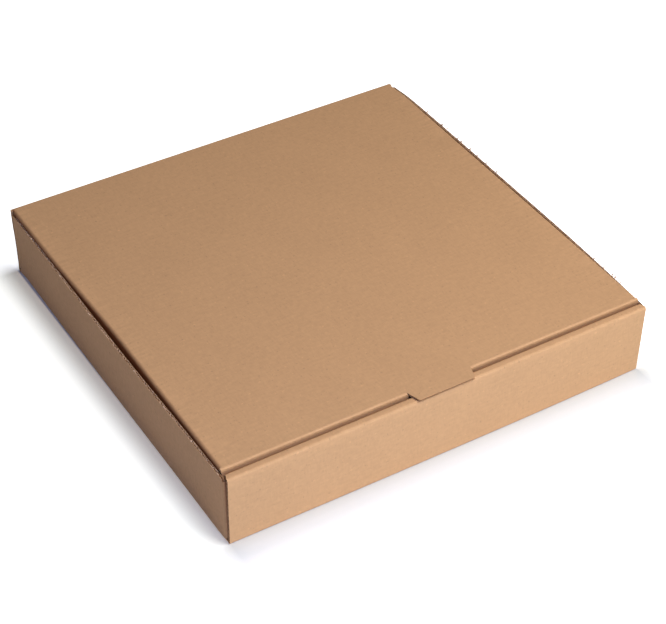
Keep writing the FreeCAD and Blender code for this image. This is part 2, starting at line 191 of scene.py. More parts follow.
REAR_FROM, LID_FROM = 15.0, 90.0


def clamp(value, high=1.0):
    return min(max(value, 0.0), high)


def ease(value):
    value = clamp(value)
    return value * value * (3 - 2 * value)


def between(foot_and_top, up):
    foot, top = foot_and_top
    return foot * (1 - up) + top * up


def curve(table, y):
    """Smooth line through a table of (place, value) pairs."""
    y = min(max(y, table[0][0]), table[-1][0])
    i = next(i for i in range(len(table) - 1) if y <= table[i + 1][0])
    (y0, v0), (y1, v1) = table[i], table[i + 1]
    before, after = table[max(i - 1, 0)], table[min(i + 2, len(table) - 1)]
    span = y1 - y0
    t = (y - y0) / span
    leave = span * (v1 - before[1]) / (y1 - before[0])
    arrive = span * (after[1] - v0) / (after[0] - y0)
    return (
        (1 + 2 * t) * (1 - t) ** 2 * v0
        + t * (1 - t) ** 2 * leave
        + t * t * (3 - 2 * t) * v1
        + t * t * (t - 1) * arrive
    )


def near_side(point):
    """Which side a point is on, and 1 at the side's edge down to 0 towards the middle."""
    inside = abs(point.x) - WIDTH / 2 + SIDE_REACH
    return (1 if point.x > 0 else -1), ease(inside / (SIDE_REACH - SIDE_FULL))


def settle_side(point):
    side, share = near_side(point)
    if share > 0:
        up = clamp(point.z / SIDE_HEIGHT, 1.05)
        foot, top = curve(WALL_FOOT[side], point.y), curve(WALL_TOP[side], point.y)
        point.x += side * share * (foot * (1 - up) + top * up**WALL_BOW)
    return point


def settle_rear(point):
    up = ease((point.z - REAR_FROM) / (HINGE_START - REAR_FROM))
    point.z += HINGE_RISE * up
    point.y += HINGE_OUT * up
    side, share = near_side(point)
    if side < 0:
        point.x -= share * between(REAR_LEFT, up)
    return point


def settle_foot(point):
    """The double front wall's foot stands a little forward of its top."""
    up = clamp(point.z / FRONT_HEIGHT)
    front = 1 - ease((point.y + DEPTH / 2 - STRIP) / FOOT_REACH)
    point.y -= curve(FRONT_FOOT, point.x) * (1 - up) * front
    return point


def settle_front(point):
    """The front panel's raw ends lean: both to the left at the foot, the right one out at the top."""
    side, share = near_side(point)
    point.x += share * between(FRONT_ENDS[side], clamp(point.z / FRONT_HEIGHT))
    return settle_foot(point)


def settle_lid(point):
    side, share = near_side(point)
    if share > 0:
        point.x += side * share * curve(LID_EDGE[side], point.y)
    back = ease((point.y - LID_FROM) / (DEPTH / 2 - LID_BEND - LID_FROM))
    point.z += HINGE_RISE * back
    point.y += HINGE_OUT * back
    return point


# %% [markdown]
# ## From the flat sheet to the box
# Each function below takes a place on the flat sheet and a depth in the board, and gives the point
# where folding puts it, the direction into the board, the place on the sheet, and how bent it is.

# %% Place each panel
LEANING = math.radians(LEAN)
WALL_START = FLOOR_HALF + bend_length(90 - LEAN, TRAY_BEND)
WALL_LENGTH = (SIDE_HEIGHT - TRAY_BEND + TRAY_FOLD * math.sin(LEANING)) / math.cos(LEANING)
WALL_END = WALL_START + WALL_LENGTH


def on_front(x, s, depth):
    point, inward, bent = walk(FRONT_RUNS, s, depth)
    where = Vector((x, -point.x, point.y))
    if s < FLOOR_HALF:
        settle_foot(settle_side(where))
    else:
        settle_front(where)
    return where * MM, Vector((0, -inward.x, inward.y)), (x, -s), bent


def on_rear(x, s, depth):
    point, inward, bent = walk(REAR_RUNS, s, depth)
    where = Vector((x, point.x, point.y))
    if s < FLOOR_HALF:
        settle_side(where)
    else:
        settle_rear(where)
    return where * MM, Vector((0, inward.x, inward.y)), (x, s), bent


def on_side(side, turning=True):
    """Side wall. Past the ear line the board turns in as an ear, or runs straight on as the foot."""

    def place(y, s, depth):
        beyond = abs(y) - EAR_LINE
        if beyond > 0 and turning:
            turn, turn_in, bent = walk(EAR_RUNS, beyond, depth)
        else:
            turn, turn_in, bent = Vector((beyond, depth)), Vector((0, 1)), 0.0
        point, inward, wall_bent = walk(SIDE_RUNS, s, 0)
        end = math.copysign(1, y)
        flat = point + inward * turn.y
        where = settle_side(Vector((side * flat.x, end * (EAR_LINE + turn.x), flat.y)))
        settle_foot(where)
        across = inward * turn_in.y
        direction = Vector((side * across.x, end * turn_in.x, across.y))
        return where * MM, direction, (side * s, y), max(bent, wall_bent)

    return place


def on_lid(x, y, depth):
    where = settle_lid(Vector((x, y, LID_TOP - depth)))
    return where * MM, Vector((0, 0, -1)), (x, y), 0.0


def on_tuck_flap(x, s, depth):
    point, inward, bent = walk(TUCK_RUNS, s, depth)
    where = settle_lid(Vector((x, LID_FRONT - point.x, LID_TOP - point.y)))
    return where * MM, Vector((0, -inward.x, -inward.y)), (x, LID_FRONT - s), bent


def on_dust_flap(side):
    edge = LID_HALF - LID_BEND

    def place(y, s, depth):
        point, inward, bent = walk(TUCK_RUNS, s, depth)
        where = settle_lid(Vector((side * (edge + point.x), y, LID_TOP - point.y)))
        return where * MM, Vector((side * inward.x, 0, -inward.y)), (side * (edge + s), y), bent

    return place


def on_hinge(x, s, depth):
    point, inward, _ = walk(HINGE_RUNS, s, depth)
    where = settle_rear(Vector((x, DEPTH / 2 - point.y, HINGE_START + point.x)))
    return where * MM, Vector((0, -inward.y, inward.x)), (x, s), 1.0


print("side wall's top stands at", round(walk(SIDE_RUNS, WALL_END, 0)[0].y, 2))

# %% [markdown]
# ## Panels as grids
# A panel is a grid of rows and columns over its flat outline. A column is a share from 0 to 1
# between two edges, and the edges may depend on the row, which gives tapers and round corners.
# Panels that share a crease use the same columns there, so their corners fall together and merge.

# %% Rows, columns and outlines
def steps(low, high, step):
    """Evenly spaced values from low to high, about step apart."""
    count = max(1, round((high - low) / step))
    return [low + (high - low) * i / count for i in range(count + 1)]


def steps_to_corner(low, high, corner, step, fine):
    """Steps that turn fine over the last stretch, where an outline's corners are round."""
    return steps(low, high - corner, step) + steps(high - corner, high, fine)[1:]


def share_list(count):
    return [i / count for i in range(count + 1)]


def rows_of(runs, start, stop, flat_step, bend_count=7):
    """Rows from start to stop along a section: close together in bends, flat_step apart elsewhere."""
    rows, s = [start], 0.0
    for kind, size, radius in runs:
        length = run_length(kind, size, radius)
        parts = bend_count if kind == "bend" else max(1, round(length / flat_step))
        rows += [s + length * i / parts for i in range(parts + 1)]
        s += length
    rows = sorted({round(r, 5) for r in rows if start - 1e-6 <= r <= stop + 1e-6} | {stop})
    return [r for r, after in zip(rows, rows[1:] + [1e9]) if after - r > 1e-4]


def rounded(half, height, corner, up):
    """Half width of an outline that ends at height, whose corners have a radius."""
    left = corner - (height - up)
    if left <= 0:
        return half
    return half - corner + math.sqrt(max(0.0, corner * corner - left * left))


class Panels:
    """Collects grid panels of one paper layer, at one depth in the board."""

    def __init__(self, depth):
        self.depth = depth
        self.corners, self.faces = [], []

    def grid(self, place, lows, highs, rows, shares):
        """lows and highs are the outline's two edges, each a number or a function of the row."""
        start, wide = len(self.corners), len(shares)
        for row in rows:
            low, high = (edge(row) if callable(edge) else edge for edge in (lows, highs))
            self.corners += [place(low + (high - low) * share, row, self.depth) for share in shares]
        for i in range(len(rows) - 1):
            for j in range(wide - 1):
                a = start + i * wide + j
                self.faces.append((a, a + 1, a + 1 + wide, a + wide))


print("rows over the front chain:", len(rows_of(FRONT_RUNS, FLOOR_HALF, 262, 12)))

# %% [markdown]
# ## The tray's panels
# The floor, the double front wall and the rear wall are one long strip of board. The side walls
# and their ears hang on the floor's other two edges. The lists of rows and columns are coarse for
# the liners. For the medium they are coarse along the flutes and fine across them, since it takes
# eight rows to draw one wave.

# %% Lay out the tray
FRONT_TOP = FLOOR_HALF + CREASE + FRONT_HEIGHT - 2 * TRAY_BEND
STRIP_START = FRONT_TOP + CREASE
STRIP_END = STRIP_START + STRIP - 2 * TRAY_BEND
INNER_START = STRIP_END + CREASE
INNER_FOOT = INNER_START + FRONT_HEIGHT - TRAY_BEND - BOARD - 0.2
LOCK_TIP = INNER_START + FRONT_HEIGHT - TRAY_BEND - 0.3
LOCK_HALF = 21.0
LOCK_MIDDLE = 84.0
SLOT_GAP = 0.5
INNER_FACE = FLOOR_HALF + TRAY_BEND - STRIP
SLOT = (INNER_FACE - SLOT_GAP, INNER_FACE + BOARD + SLOT_GAP)
REAR_END = FLOOR_HALF + CREASE + LID_TOP - LID_BEND - TRAY_BEND
EDGE_SHARE = 0.0075
EAR_DROP = {-1: 1.5, 1: 0.0}
EAR_CORNER = EAR_SLOPE + EAR_ROUND
EAR_STEP, LOCK_STEP, FLAP_STEP = 1.0, 0.75, 0.8
SLOT_CLEAR = 0.2


def front_half(s):
    if s <= STRIP_START:
        return WIDTH / 2
    if s <= STRIP_END:
        return WIDTH / 2 - STRIP_TAPER * (s - STRIP_START) / (STRIP_END - STRIP_START)
    down = max(0.0, s - INNER_START) / (INNER_FOOT - INNER_START)
    return WIDTH / 2 - STRIP_TAPER - INNER_TAPER * down


def ear_reach(s, first, last):
    """Ear's length past its crease at a row: slanted, with round corners at its free end."""
    near = min(s - first, last - s)
    left = EAR_ROUND - clamp(near - EAR_SLOPE, EAR_ROUND)
    corner = EAR_ROUND - math.sqrt(EAR_ROUND**2 - left**2)
    return CREASE + (EAR_LENGTH - TRAY_BEND - corner) * clamp(near / EAR_SLOPE)


def lay_floor(panels, middle, across):
    """The floor in five blocks, of which two leave the lock tabs' slots open."""
    front_rows = sorted({round(-y, 5) for y in middle if y <= 0} | {0.0})
    rear_rows = sorted({round(y, 5) for y in middle if y >= 0} | {0.0}) + [FLOOR_HALF]
    to_slot = [r for r in front_rows if r < SLOT[0] - SLOT_CLEAR] + [SLOT[0]]
    past_slot = [SLOT[1], FLOOR_HALF]
    near, far = LOCK_MIDDLE - LOCK_HALF - SLOT_GAP, LOCK_MIDDLE + LOCK_HALF + SLOT_GAP
    edges = [-FLOOR_HALF, -far, -near, near, far, FLOOR_HALF]
    for block, (low, high) in enumerate(zip(edges, edges[1:])):
        panels.grid(on_rear, low, high, rear_rows, across)
        for rows in (to_slot, past_slot) if block in (1, 3) else (to_slot + past_slot,):
            panels.grid(on_front, low, high, rows, across)


def lay_side(panels, side, middle, along, up_step):
    """A side wall with its ears, and the wall's foot, which runs on under each ear."""
    place, straight = on_side(side), on_side(side, turning=False)
    shares = [(y + EAR_LINE) / (2 * EAR_LINE) for y in middle]
    panels.grid(place, -EAR_LINE, EAR_LINE, rows_of(SIDE_RUNS, FLOOR_HALF, WALL_END, up_step), shares)
    foot_rows = rows_of(SIDE_RUNS, FLOOR_HALF, WALL_START + FOOT, up_step)
    for end, drop in EAR_DROP.items():
        panels.grid(straight, end * EAR_LINE, end * FLOOR_HALF, foot_rows, share_list(2))
        first, last = WALL_START + EAR_FOOT, WALL_END - drop
        low, high = first + EAR_CORNER, last - EAR_CORNER
        ends = steps(first, low, EAR_STEP) + steps(high, last, EAR_STEP)
        rows = sorted({*ends, *steps(low, high, up_step)})
        crease = end * (EAR_LINE + CREASE)
        panels.grid(place, end * EAR_LINE, crease, rows, share_list(6))
        ear_shares = share_list(max(6, round(EAR_LENGTH / along)))
        panels.grid(
            place, crease, lambda s: end * (EAR_LINE + ear_reach(s, first, last)), rows, ear_shares
        )


def lay_tray(panels, along, up_step, chain_step, cells):
    """along and chain_step: steps across the flutes, on the sheet's middle and on the walls that
    stand across them; up_step: step along the flutes; cells: columns along the flutes."""
    middle = steps(-EAR_LINE, EAR_LINE, along)
    across = share_list(cells)
    lay_floor(panels, middle, across)

    # Front chain: crease, panel, crease, strip, crease, inner panel and its lock tabs
    columns = [0.0, EDGE_SHARE, *across[1:-1], 1 - EDGE_SHARE, 1.0]
    chain = rows_of(FRONT_RUNS, FLOOR_HALF, INNER_FOOT, chain_step)
    panels.grid(on_front, lambda s: -front_half(s), front_half, chain, columns)
    tab_rows = steps(INNER_FOOT, LOCK_TIP, LOCK_STEP)
    for centre in (-LOCK_MIDDLE, LOCK_MIDDLE):
        panels.grid(on_front, centre - LOCK_HALF, centre + LOCK_HALF, tab_rows, share_list(4))

    # Rear wall, as far as the lid's crease
    chain = rows_of(REAR_RUNS, FLOOR_HALF, REAR_END, chain_step)
    panels.grid(on_rear, -REAR_HALF, REAR_HALF, chain, columns)
    for side in (-1, 1):
        lay_side(panels, side, middle, along, up_step)


print("front wall's outer panel ends", round(FRONT_TOP, 1), "mm from the middle of the sheet")

# %% [markdown]
# ## The lid's panels
# The lid is flat. Its tuck flap turns down at the front on both sides of the finger tab. The tab
# is cut out of the flap, so it leaves a notch of its own shape there.

# %% Lay out the lid
FLAP_CREASE = bend_length(90 + TUCK, LID_BEND)
PANEL_HALF = LID_HALF - LID_BEND
TAB_LENGTH = LID_FRONT - TAB_FRONT
FLAP_BENDS = 10
HINGE_INSET = 0.6
TAB_END, TAB_STEP = 1.2, 0.2


def notch_half(s):
    """Half width of the opening that the tab leaves, at a row below the lid's edge."""
    return TAB_ROOT + (TAB_TIP - TAB_ROOT) * clamp(s / TAB_LENGTH)


def tab_half(y):
    out = LID_FRONT - y
    return rounded(notch_half(out), TAB_LENGTH, TAB_ROUND, out)


def tuck_half(s):
    down = max(0.0, s - FLAP_CREASE)
    half = LID_HALF - TUCK_CUT * clamp(down / (TUCK_FLAP - FLAP_ROUND))
    return rounded(half, TUCK_FLAP, FLAP_ROUND, down)


def dust_ends(s):
    down = max(0.0, s - FLAP_CREASE)
    cut = DUST_CUT * clamp(down / (DUST_FLAP - FLAP_ROUND))
    return cut + FLAP_ROUND - rounded(FLAP_ROUND, DUST_FLAP, FLAP_ROUND, down)


def lay_lid(panels, along, up_step, chain_step, cells):
    """The same steps as in lay_tray."""
    rows = steps(LID_FRONT, LID_REAR, along)
    across = share_list(cells)
    edges = [-PANEL_HALF, -TAB_ROOT, TAB_ROOT, PANEL_HALF]

    # The flat panel, then the strip that runs into the hinge crease, as wide as the rear wall
    hinge_rows = [LID_REAR, DEPTH / 2 - LID_BEND]
    for part in (rows, hinge_rows):
        for low, high in zip(edges, edges[1:]):
            panels.grid(on_lid, low, high, part, across)
    for side in (-1, 1):
        panels.grid(
            on_lid,
            side * PANEL_HALF,
            lambda y: side * (REAR_HALF - (HINGE_INSET if y == LID_REAR else 0.0)),
            hinge_rows,
            [0, 1],
        )

    # Finger tab
    outs = steps_to_corner(0, TAB_LENGTH, TAB_END, along, TAB_STEP)
    tab_rows = [LID_FRONT - out for out in outs]
    panels.grid(on_lid, lambda y: -tab_half(y), tab_half, tab_rows, across)

    # Tuck flap on both sides of the tab's notch, and whole below it
    upper = rows_of(TUCK_RUNS, 0, TAB_LENGTH, chain_step, FLAP_BENDS)
    lower = steps_to_corner(TAB_LENGTH, FLAP_CREASE + TUCK_FLAP, FLAP_ROUND, chain_step, FLAP_STEP)
    for part in (upper, lower):
        for side in (-1, 1):
            panels.grid(
                on_tuck_flap,
                lambda s: side * notch_half(s),
                lambda s: side * tuck_half(s),
                part,
                across,
            )
    panels.grid(on_tuck_flap, -TAB_TIP, TAB_TIP, lower, across)

    # Dust flaps
    down = rows_of(TUCK_RUNS, 0, FLAP_CREASE, up_step, FLAP_BENDS)
    flap = steps_to_corner(FLAP_CREASE, FLAP_CREASE + DUST_FLAP, FLAP_ROUND, up_step, FLAP_STEP)
    crease_shares = [(y - LID_FRONT) / (LID_REAR - LID_FRONT) for y in rows]
    places = [DUST_START] + [y for y in rows if y > DUST_START]
    shares = [(y - DUST_START) / (LID_REAR - DUST_START) for y in places]
    for side in (-1, 1):
        place = on_dust_flap(side)
        panels.grid(place, LID_FRONT, LID_REAR, down, crease_shares)
        panels.grid(
            place, lambda s: DUST_START + dust_ends(s), lambda s: LID_REAR - dust_ends(s), flap, shares
        )


print("finger tab reaches", round(TAB_LENGTH, 1), "mm past the lid's front crease")

# %% [markdown]
# ## From panels to a mesh
# The grids become one mesh. Corners that fall together are merged, each face is turned to look
# away from the inside of the folds, and raw cut edges are roughened a little, as a steel cutting
# rule leaves them. Three attributes go with every point: its place on the flat sheet, which the
# paper's grain follows, how bent the board is there, and which way leads into the board.

# %% Make a sheet mesh
ROUGH_CUT = 0.07 * MM


def is_hinge(point):
    """True where a sheet ends at the lid's crease, which isn't a cut edge."""
    return point.y > (DEPTH / 2 - LID_BEND - 0.2) * MM and point.z > (HINGE_START - 0.2) * MM


def sheet_mesh(name, panels, outside=True, rough=ROUGH_CUT):
    rng = random.Random(name)
    bm = bmesh.new()
    flat = bm.verts.layers.float_vector.new("sheet")
    bent = bm.verts.layers.float.new("bent")
    inward = bm.verts.layers.float_vector.new("inward")
    verts = []
    for point, facing, place, bend in panels.corners:
        vert = bm.verts.new(point)
        vert[flat] = Vector((place[0] * MM, place[1] * MM, panels.depth * MM))
        vert[bent] = bend
        vert[inward] = facing
        verts.append(vert)
    for corners in panels.faces:
        bm.faces.new([verts[i] for i in corners])
    bmesh.ops.remove_doubles(bm, verts=bm.verts, dist=0.004 * MM)
    bmesh.ops.dissolve_degenerate(bm, dist=0.002 * MM, edges=bm.edges)
    bm.normal_update()
    for face in bm.faces:
        looks_in = sum((v[inward] for v in face.verts), Vector()).dot(face.normal) > 0
        if looks_in == outside:
            face.normal_flip()
    for edge in bm.edges:
        if edge.is_boundary:
            for vert in edge.verts:
                if not is_hinge(vert.co) and not vert.tag:
                    shake = Vector([rng.uniform(-rough, rough) for _ in range(3)])
                    vert.co += shake - vert[inward] * shake.dot(vert[inward])
                    vert.tag = True
    mesh = bpy.data.meshes.new(name)
    bm.to_mesh(mesh)
    bm.free()
    return mesh


def link(name, mesh):
    item = bpy.data.objects.new(name, mesh)
    bpy.context.scene.collection.objects.link(item)
    return item


def plain(item):
    """The object's evaluated shape as a plain mesh, with its modifiers gone."""
    graph = bpy.context.evaluated_depsgraph_get()
    mesh = bpy.data.meshes.new_from_object(item.evaluated_get(graph))
    item.modifiers.clear()
    old = item.data
    item.data = mesh
    mesh.name = item.name
    bpy.data.meshes.remove(old)
    return item


def triangles(item):
    return sum(len(p.vertices) - 2 for p in item.data.polygons)


# %% [markdown]
# ## The liners
# A liner is a sheet mesh with a thickness. Solidify grows it from the board's outer or inner face
# towards the middle, and closes the raw edges. It is applied, so that the piece is a plain mesh.

# %% Build the liners
LINER_STEP = FLUTE_PITCH / 2
TRAY_GRID = (LINER_STEP, 6.0, 6.0, 10)
LID_GRID = (LINER_STEP, 3.0, 3.0, 8)


def thicken(item, thickness):
    solid = item.modifiers.new("Paper", "SOLIDIFY")
    solid.thickness = thickness * MM
    solid.offset = -1
    plain(item)
    print(item.name, triangles(item), "triangles")
    return item


def liner(name, lay, outside, grid):
    panels = Panels(0.0 if outside else BOARD)
    lay(panels, *grid)
    return thicken(link(name, sheet_mesh(name, panels, outside)), LINER)


tray_outside = liner("tray_liner_outside", lay_tray, True, TRAY_GRID)
tray_inside = liner("tray_liner_inside", lay_tray, False, TRAY_GRID)
lid_outside = liner("lid_liner_outside", lay_lid, True, LID_GRID)
lid_inside = liner("lid_liner_inside", lay_lid, False, LID_GRID)

# %% [markdown]
# ## A few helpers for nodes
# The wave, the torn fibres and all the papers below are built of nodes. `new_tree` makes a node
# group with its inputs and outputs, `add` adds one node and fills its inputs, with values or with
# links from other nodes, and `maths` adds a Math node.

# %% Node helpers
FLOAT, COLOR, VECTOR = "NodeSocketFloat", "NodeSocketColor", "NodeSocketVector"
GEOMETRY, MATERIAL, WHOLE = "NodeSocketGeometry", "NodeSocketMaterial", "NodeSocketInt"


def new_tree(kind, name, ins, outs):
    """A node group with (label, socket kind, default) inputs and (label, socket kind) outputs."""
    tree = bpy.data.node_groups.new(name, kind)
    for label, socket_kind, value in ins:
        socket = tree.interface.new_socket(label, in_out="INPUT", socket_type=socket_kind)
        if value is not None:
            socket.default_value = value
    for label, socket_kind in outs:
        tree.interface.new_socket(label, in_out="OUTPUT", socket_type=socket_kind)
    return tree, tree.nodes.new("NodeGroupInput").outputs, tree.nodes.new("NodeGroupOutput").inputs


def add(tree, kind, inputs=(), **settings):
    """Add a node; inputs gives a value or a socket to link for each input's name or number."""
    node = tree.nodes.new(kind)
    for name, value in settings.items():
        setattr(node, name, value)
    for label, value in dict(inputs).items():
        if isinstance(value, bpy.types.NodeSocket):
            tree.links.new(value, node.inputs[label])
        elif value is not None:
            node.inputs[label].default_value = value
    return node


def maths(tree, operation, first, second=None, third=None):
    values = {0: first, 1: second, 2: third}
    return add(tree, "ShaderNodeMath", values, operation=operation).outputs[0]


def vectors(tree, operation, inputs):
    return add(tree, "ShaderNodeVectorMath", inputs, operation=operation).outputs


def wave_over(tree, sheet, pitch, skew):
    """A sine over the flat sheet, whose crests lie a touch askew."""
    split = add(tree, "ShaderNodeSeparateXYZ", {0: sheet}).outputs
    skewed = maths(tree, "MULTIPLY_ADD", split["X"], skew, split["Y"])
    turns = maths(tree, "DIVIDE", skewed, pitch)
    return maths(tree, "SINE", maths(tree, "MULTIPLY", turns, math.tau))


def geometry_tree(name, ins):
    ins = [("Geometry", GEOMETRY, None), *ins, ("Material", MATERIAL, None)]
    return new_tree("GeometryNodeTree", name, ins, [("Geometry", GEOMETRY)])


def input_key(tree, label):
    sockets = tree.interface.items_tree
    return next(s.identifier for s in sockets if s.name == label and s.in_out == "INPUT")


def grow(item, tree, values):
    """Run a node group on an object, with values by input name, and keep the result as its mesh."""
    nodes = item.modifiers.new("Nodes", "NODES")
    nodes.node_group = tree
    for label, value in values.items():
        nodes[input_key(tree, label)] = value
    plain(item)
    print(item.name, triangles(item), "triangles")
    return item


print("node helpers are ready")

# %% [markdown]
# ## The waved medium, with Geometry Nodes
# The medium repeats one wave more than two hundred times, so it is made by a rule. The tree takes
# a sheet in the middle of the board, pushes each point in or out by a sine of its place on the flat
# sheet, and gives the paper a thickness. In a crease the board is crushed, and the wave fades.
# The flutes lie a touch askew on the sheet, so a cut along them opens and closes.

# %% The flute tree
def named(tree, name, kind):
    node = add(tree, "GeometryNodeInputNamedAttribute", {"Name": name}, data_type=kind)
    return node.outputs["Attribute"]


def build_flute_tree():
    tree, given, made = geometry_tree(
        "corrugate",
        [
            ("Pitch", FLOAT, FLUTE_PITCH * MM),
            ("Wave Height", FLOAT, 1.0 * MM),
            ("Paper Thickness", FLOAT, MEDIUM * MM),
            ("Skew", FLOAT, FLUTE_SKEW),
            ("Crushed", FLOAT, 0.12),
        ],
    )
    sheet, inward = named(tree, "sheet", "FLOAT_VECTOR"), named(tree, "inward", "FLOAT_VECTOR")
    wave = wave_over(tree, sheet, given["Pitch"], given["Skew"])
    lost = maths(tree, "SUBTRACT", 1.0, given["Crushed"])
    crushed = maths(tree, "MULTIPLY", named(tree, "bent", "FLOAT"), lost)
    half = maths(tree, "MULTIPLY", given["Wave Height"], 0.5)
    reach = maths(tree, "MULTIPLY", half, maths(tree, "SUBTRACT", 1.0, crushed))
    push = vectors(tree, "SCALE", {0: inward, "Scale": maths(tree, "MULTIPLY", wave, reach)})[0]
    moved = add(tree, "GeometryNodeSetPosition", {"Geometry": given["Geometry"], "Offset": push})
    paper_in = {"Mesh": moved.outputs[0], "Individual": False, "Offset Scale": given["Paper Thickness"]}
    extruded = add(tree, "GeometryNodeExtrudeMesh", paper_in)
    flipped = add(tree, "GeometryNodeFlipFaces", {0: moved.outputs[0]})
    join = add(tree, "GeometryNodeJoinGeometry", {0: flipped.outputs[0]})
    tree.links.new(extruded.outputs["Mesh"], join.inputs[0])
    closed = {"Geometry": join.outputs[0], "Distance": 0.001 * MM}
    merged = add(tree, "GeometryNodeMergeByDistance", closed)
    real = add(tree, "GeometryNodeRealizeInstances", {0: merged.outputs[0]}).outputs[0]
    paint = {"Geometry": real, "Material": given["Material"]}
    tree.links.new(add(tree, "GeometryNodeSetMaterial", paint).outputs[0], made[0])
    return tree


FLUTE_TREE = build_flute_tree()
print("flute tree:", len(FLUTE_TREE.nodes), "nodes")

# %% [markdown]
# ## Materials
# Kraft paper is brown all over, yet never one colour: long fibres lie along the sheet, dark and
# pale specks sit among them, and the pulp is cloudy over a few centimetres. These effects are
# shared, so each is a node group that every paper here uses with values of its own.

# %% Shading helpers
WHITE = (1, 1, 1, 1)


def noise(tree, vector, scale, detail, stretch=(1, 1, 1)):
    """Noise over a vector, in features per metre, stretched along the sheet."""
    place = add(tree, "ShaderNodeMapping", {"Scale": stretch, "Vector": vector}).outputs[0]
    values = {"Scale": scale, "Detail": detail, "Vector": place}
    return add(tree, "ShaderNodeTexNoise", values).outputs[0]


def remap(tree, value, low, high, to_low=0.0, to_high=1.0):
    ends = {"From Min": low, "From Max": high, "To Min": to_low, "To Max": to_high}
    return add(tree, "ShaderNodeMapRange", {"Value": value, **ends}).outputs[0]


def tinted(tree, color, factor):
    """A colour brightened or darkened by a factor socket."""
    return vectors(tree, "SCALE", {0: color, "Scale": factor})[0]


def mixed(tree, factor, first, second):
    values = {0: factor, 6: first, 7: second}
    return add(tree, "ShaderNodeMix", values, data_type="RGBA").outputs[2]


def attribute(tree, name):
    return add(tree, "ShaderNodeAttribute", attribute_name=name).outputs


def paper_group(name, ins, outs):
    """A shader group that takes a place on the sheet and a paper's colour."""
    start = [("Vector", VECTOR, None), ("Paper", COLOR, WHITE)]
    return new_tree("ShaderNodeTree", name, start + ins, [("Color", COLOR)] + outs)


print("each paper group starts from Vector and Paper")

# %% [markdown]
# ### Group 1: pulp
# Fibres are noise squeezed across the sheet and stretched along it. Specks are the rare peaks of a
# fine noise. Clouds are a broad, weak noise. Each comes in as a strength, so that the inner paper
# can be rougher than the outer one.

# %% Pulp group
def build_pulp():
    tree, given, made = paper_group(
        "pulp",
        [("Fibres", FLOAT, 0.05), ("Specks", FLOAT, 0.15), ("Clouds", FLOAT, 0.05)],
        [("Height", FLOAT), ("Roughness", FLOAT)],
    )
    sheet = given["Vector"]
    long_way = noise(tree, sheet, 700, 3, (1.0, 0.3, 1.0))
    cross_way = noise(tree, sheet, 520, 3, (0.35, 1.0, 1.0))
    fibres = maths(tree, "SUBTRACT", maths(tree, "ADD", long_way, cross_way), 1.0)
    dark = remap(tree, noise(tree, sheet, 620, 1, (1, 0.8, 1)), 0.66, 0.76)
    pale = remap(tree, noise(tree, sheet, 480, 1, (0.8, 1, 1)), 0.68, 0.80)
    clouds = maths(tree, "SUBTRACT", noise(tree, sheet, 28, 3, (1, 0.7, 1)), 0.5)
    specks = maths(tree, "SUBTRACT", pale, dark)
    total = 1.0
    for effect, strength in ((fibres, "Fibres"), (specks, "Specks"), (clouds, "Clouds")):
        total = maths(tree, "MULTIPLY_ADD", effect, given[strength], total)
    tree.links.new(tinted(tree, given["Paper"], total), made["Color"])
    tree.links.new(maths(tree, "MULTIPLY_ADD", dark, -0.35, fibres), made["Height"])
    tree.links.new(remap(tree, fibres, -0.5, 0.5, 0.93, 0.74), made["Roughness"])
    return tree


PULP = build_pulp()
print("pulp:", len(PULP.nodes), "nodes")

# %% [markdown]
# ### Group 2: crease wear and painted highlight
# Where the paper is bent, its fibres are stretched and it turns a little paler. The same
# lightening is also a painted highlight, the bright line that a crease catches from the lamps.
# The mesh carries how bent it is, so the group only breaks that mark up with noise and lightens
# the paper under it.

# %% Crease wear and painted highlight group
def build_crease_wear_and_highlight():
    tree, given, made = paper_group("crease_wear_and_highlight", [("Wear And Highlight", FLOAT, 0.1)], [("Mask", FLOAT)])
    patchy = remap(tree, noise(tree, given["Vector"], 160, 4), 0.35, 0.65, 0.55, 1.0)
    mask = maths(tree, "MULTIPLY", attribute(tree, "bent")["Fac"], patchy)
    # Lightens the bent paper: partly worn fibres, partly a painted highlight.
    factor = maths(tree, "MULTIPLY_ADD", mask, given["Wear And Highlight"], 1.0)
    tree.links.new(tinted(tree, given["Paper"], factor), made["Color"])
    tree.links.new(mask, made["Mask"])
    return tree


CREASE_WEAR_AND_HIGHLIGHT = build_crease_wear_and_highlight()
print("crease wear:", len(CREASE_WEAR_AND_HIGHLIGHT.nodes), "nodes")

# %% [markdown]
# ### Group 3: washboard
# The liner dips very slightly between the tips of the flutes. A sine over the flat sheet, with
# the same pitch and the same skew as the flutes, gives a height for the bump and a faint shade.

# %% Washboard group
def build_washboard():
    tree, given, made = paper_group(
        "washboard",
        [("Pitch", FLOAT, FLUTE_PITCH * MM), ("Skew", FLOAT, FLUTE_SKEW), ("Shade", FLOAT, 0.01)],
        [("Height", FLOAT)],
    )
    wave = wave_over(tree, given["Vector"], given["Pitch"], given["Skew"])
    uneven = remap(tree, noise(tree, given["Vector"], 22, 2), 0.35, 0.65, 0.3, 1.0)
    wave = maths(tree, "MULTIPLY", wave, uneven)
    factor = maths(tree, "MULTIPLY_ADD", wave, given["Shade"], 1.0)
    tree.links.new(tinted(tree, given["Paper"], factor), made["Color"])
    tree.links.new(wave, made["Height"])
    return tree


WASHBOARD = build_washboard()
print("washboard:", len(WASHBOARD.nodes), "nodes")
